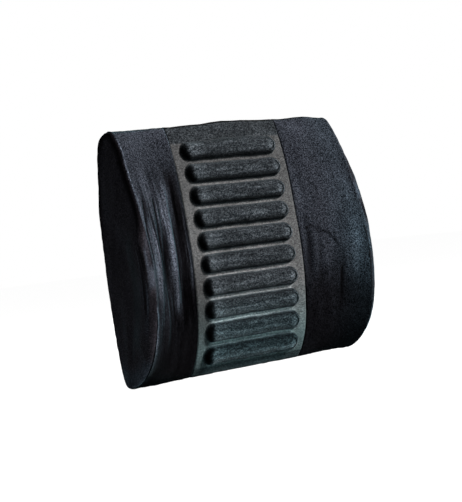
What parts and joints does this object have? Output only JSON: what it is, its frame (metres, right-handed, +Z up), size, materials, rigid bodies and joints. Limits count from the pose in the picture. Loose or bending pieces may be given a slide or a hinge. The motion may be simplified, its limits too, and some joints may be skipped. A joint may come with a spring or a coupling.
{
  "type": "lumbar support cushion",
  "caption": "Saddle-fronted foam lumbar support cushion with plush side panels, a moulded ribbed centre panel, domed ends, a zipped back and an elastic strap.",
  "frame": {"origin": "centre of the flat rest area on the back of the cushion", "axes": "+Z up the cushion's height, +Y out of the back, -Y out of the ribbed front, +X towards the sitter's left-hand end"},
  "size_m": [0.364, 0.0929, 0.3095],
  "materials": {
    "velour": "matte",
    "rib_cloth": "matte",
    "back_cloth": "matte",
    "foam": "matte",
    "scrim": "matte",
    "zip_tape": "matte",
    "zip_nylon": "satin",
    "zip_metal": "satin",
    "elastic": "matte"
  },
  "bodies": {
    "cushion": {"foam_core": "foam", "velour_panel_left": "velour", "velour_panel_right": "velour", "end_panel_left": "velour", "end_panel_right": "velour", "back_panel_upper": "back_cloth", "back_panel_lower": "back_cloth", "rib_panel_facing": "rib_cloth", "rib_panel_backing": "scrim", "rib_insert_01": "foam", "rib_insert_02": "foam", "rib_insert_03": "foam", "rib_insert_04": "foam", "rib_insert_05": "foam", "rib_insert_06": "foam", "rib_insert_07": "foam", "rib_insert_08": "foam", "rib_insert_09": "foam", "rib_insert_10": "foam", "zip_tape_upper": "zip_tape", "zip_tape_lower": "zip_tape", "zip_coil_upper": "zip_nylon", "zip_coil_lower": "zip_nylon", "zip_stop_left": "zip_metal", "zip_stop_right": "zip_metal", "elastic_strap": "elastic"},
    "slider": {"zip_slider": "zip_metal"},
    "pull": {"zip_pull": "zip_metal"}
  },
  "joints": [
    {"name": "zip_slide", "type": "slide", "parent": "cushion", "child": "slider", "axis": [-1, 0, 0], "range_m": [0, 0.3]},
    {"name": "zip_pull_hinge", "type": "hinge", "parent": "slider", "child": "pull", "pos_m": [0.15, -0.00432, -0.11527], "axis": [0, -0.1126, -0.9936], "range_deg": [0, 170]}
  ]
}
